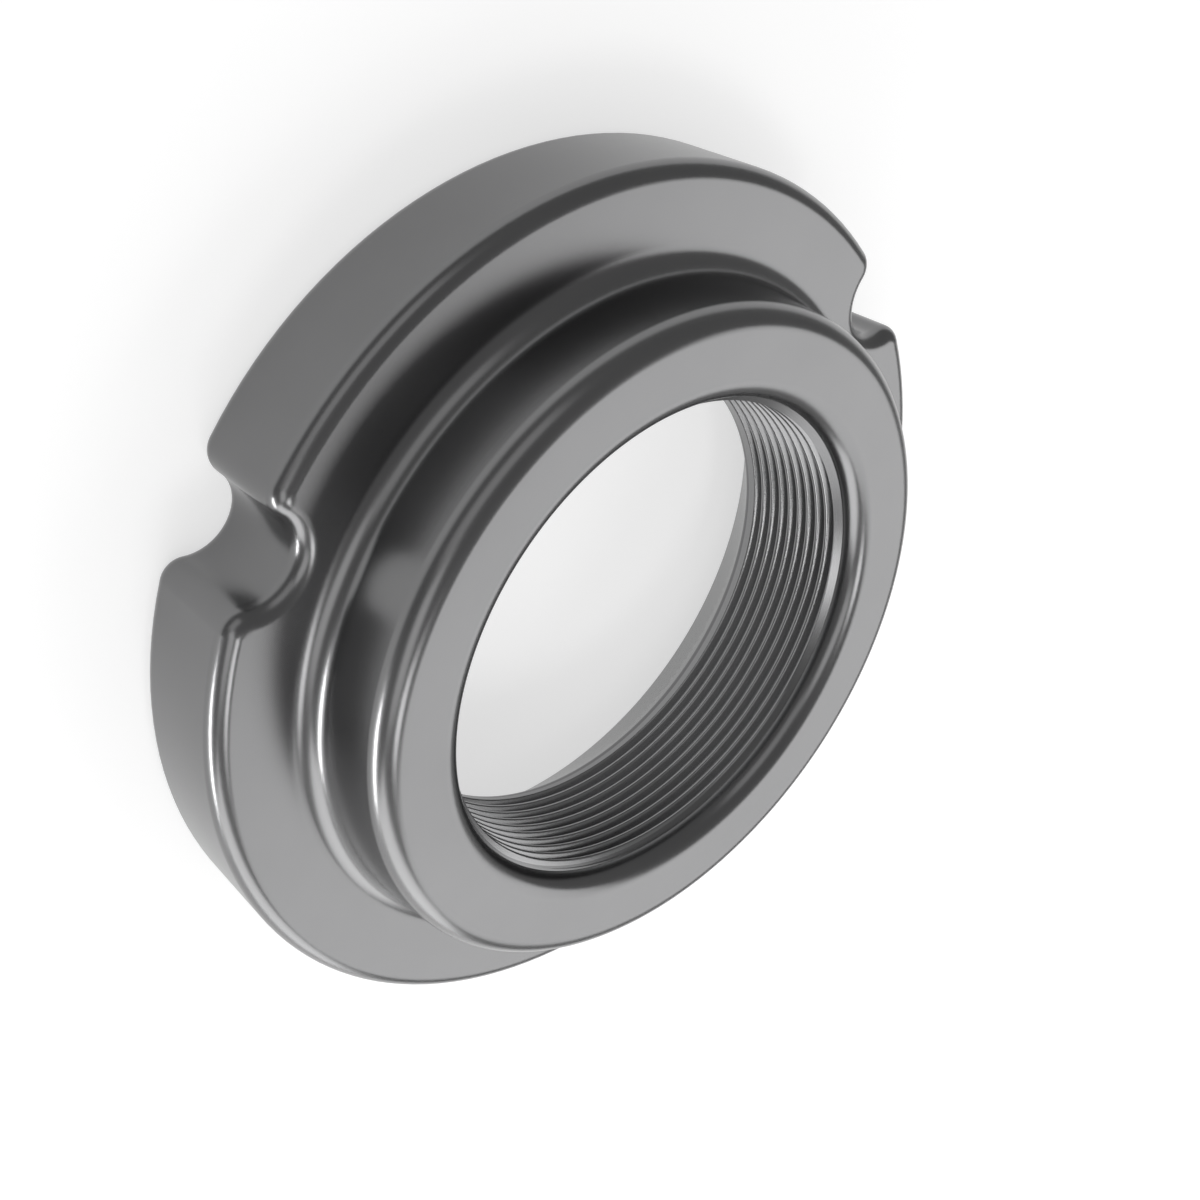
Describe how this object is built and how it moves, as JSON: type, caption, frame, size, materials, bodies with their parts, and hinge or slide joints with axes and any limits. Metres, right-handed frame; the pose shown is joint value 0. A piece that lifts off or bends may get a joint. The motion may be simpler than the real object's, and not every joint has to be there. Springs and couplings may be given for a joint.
{
  "type": "bearing lock nut",
  "caption": "Round shaft nut with a drafted hub, a wide flange with hook-spanner notches in its rim, and a fine threaded bore with a conical lead-in.",
  "frame": {"origin": "centre of the flange's flat back face, on the bore's axis; the nut stands on this face", "axes": "+Z along the bore from the back face to the hub's face, -Y through the middle of one spanner notch"},
  "size_m": [0.106, 0.1054, 0.0262],
  "materials": {
    "steel": "satin, evenly polished all over"
  },
  "bodies": {
    "root": {"lock_nut": "steel"}
  },
  "joints": []
}
